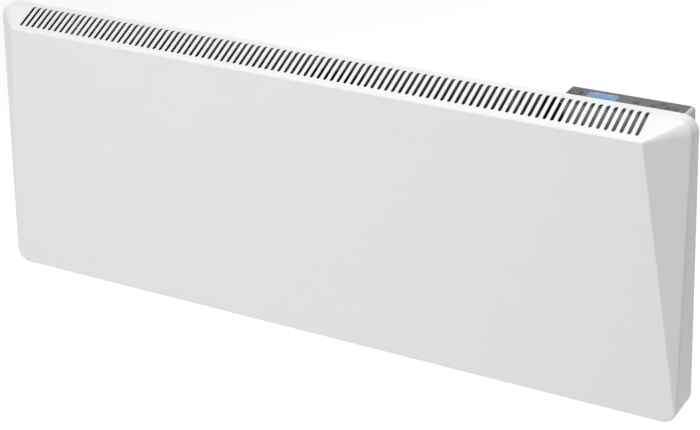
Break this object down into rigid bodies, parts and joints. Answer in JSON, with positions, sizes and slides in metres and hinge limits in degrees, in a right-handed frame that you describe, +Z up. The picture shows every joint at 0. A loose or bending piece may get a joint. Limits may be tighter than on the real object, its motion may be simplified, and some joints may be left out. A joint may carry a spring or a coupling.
{
  "type": "wall panel convector heater",
  "caption": "Low white electric panel convector heater with a slotted grille along its top, angled side facets, a grey control unit at the top right and a wall bracket it lifts off.",
  "frame": {"origin": "on the wall plane, behind the middle of the cover's width, at mid-height of the bracket's upper rail", "axes": "+X to the right as seen from the room, along the heater; -Y towards the room (the front); +Y into the wall; +Z up"},
  "size_m": [1.048, 0.0963, 0.4021],
  "materials": {
    "white_enamel": "smooth satin-gloss white powder coat",
    "zinc_steel": "zinc-coated sheet, dull",
    "bracket_steel": "zinc-plated pressed sheet",
    "foam_rubber": "black rubber, matt",
    "element_alloy": "plain extruded alloy, dull",
    "ceramic": "unglazed off-white",
    "black_plastic": "fine matt moulding",
    "housing_plastic": "pale grey satin moulding",
    "fascia_plastic": "mid grey satin film on plastic",
    "key_plastic": "mid grey satin",
    "display_lens": "clear blue-tinted window",
    "display_panel": "backlit blue panel",
    "circuit_board": "green board",
    "silicone": "dark grey silicone",
    "lead_red": "heat-proof insulation",
    "lead_blue": "heat-proof insulation",
    "lead_grey": "heat-proof insulation",
    "screw_steel": "zinc-plated"
  },
  "bodies": {
    "bracket": {"wall_bracket": "bracket_steel"},
    "heater": {"front_cover": "white_enamel", "back_panel": "zinc_steel", "heat_shield": "zinc_steel", "element_support_left": "zinc_steel", "element_support_right": "zinc_steel", "top_seal": "foam_rubber", "gap_seal": "foam_rubber", "housing_seal": "foam_rubber", "lead_grommet": "foam_rubber", "heating_element": "element_alloy", "element_cap_left": "ceramic", "element_cap_right": "ceramic", "terminal_block": "ceramic", "inlet_grille": "black_plastic", "window_plug": "black_plastic", "wall_spacer_left": "black_plastic", "wall_spacer_right": "black_plastic", "thermal_cutout": "black_plastic", "lead_clip_1": "black_plastic", "lead_clip_2": "black_plastic", "lead_clip_3": "black_plastic", "room_sensor": "black_plastic", "sensor_clip": "black_plastic", "relay": "black_plastic", "supply_module": "black_plastic", "capacitor": "black_plastic", "cable_gland": "black_plastic", "gland_nut": "black_plastic", "control_housing": "housing_plastic", "control_fascia": "fascia_plastic", "display_lens": "display_lens", "display_module": "display_panel", "display_board": "circuit_board", "power_board": "circuit_board", "key_mat": "silicone", "standby_mat": "silicone", "lead_element_right": "lead_red", "lead_element_left": "lead_blue", "lead_cutout": "lead_blue", "lead_sensor": "lead_grey", "screw_cover_1": "screw_steel", "screw_cover_2": "screw_steel", "screw_cover_3": "screw_steel", "screw_cover_4": "screw_steel", "screw_housing_1": "screw_steel", "screw_housing_2": "screw_steel"},
    "left_catch": {"catch_left": "black_plastic"},
    "right_catch": {"catch_right": "black_plastic"},
    "standby_button": {"key_standby": "key_plastic"},
    "menu_button": {"key_menu": "key_plastic"},
    "left_button": {"key_left": "key_plastic"},
    "up_button": {"key_up": "key_plastic"},
    "right_button": {"key_right": "key_plastic"},
    "down_button": {"key_down": "key_plastic"},
    "enter_button": {"key_enter": "key_plastic"}
  },
  "joints": [
    {"name": "heater_lift", "type": "slide", "parent": "bracket", "child": "heater", "axis": [0, 0, 1], "range_m": [0, 0.013]},
    {"name": "left_catch_turn", "type": "hinge", "parent": "bracket", "child": "left_catch", "pos_m": [-0.36, -0.0355, -0.24], "axis": [0, 1, 0], "range_deg": [0, 90]},
    {"name": "right_catch_turn", "type": "hinge", "parent": "bracket", "child": "right_catch", "pos_m": [0.24, -0.0355, -0.24], "axis": [0, 1, 0], "range_deg": [0, 90]},
    {"name": "standby_press", "type": "slide", "parent": "heater", "child": "standby_button", "axis": [0, 0, -1], "range_m": [0, 0.0008], "stiffness_N_per_m": 1800},
    {"name": "menu_press", "type": "slide", "parent": "heater", "child": "menu_button", "axis": [0, 0, -1], "range_m": [0, 0.0008], "stiffness_N_per_m": 1500},
    {"name": "left_press", "type": "slide", "parent": "heater", "child": "left_button", "axis": [0, 0, -1], "range_m": [0, 0.0008], "stiffness_N_per_m": 1500},
    {"name": "up_press", "type": "slide", "parent": "heater", "child": "up_button", "axis": [0, 0, -1], "range_m": [0, 0.0008], "stiffness_N_per_m": 1500},
    {"name": "right_press", "type": "slide", "parent": "heater", "child": "right_button", "axis": [0, 0, -1], "range_m": [0, 0.0008], "stiffness_N_per_m": 1500},
    {"name": "down_press", "type": "slide", "parent": "heater", "child": "down_button", "axis": [0, 0, -1], "range_m": [0, 0.0008], "stiffness_N_per_m": 1500},
    {"name": "enter_press", "type": "slide", "parent": "heater", "child": "enter_button", "axis": [0, 0, -1], "range_m": [0, 0.0008], "stiffness_N_per_m": 1500}
  ]
}
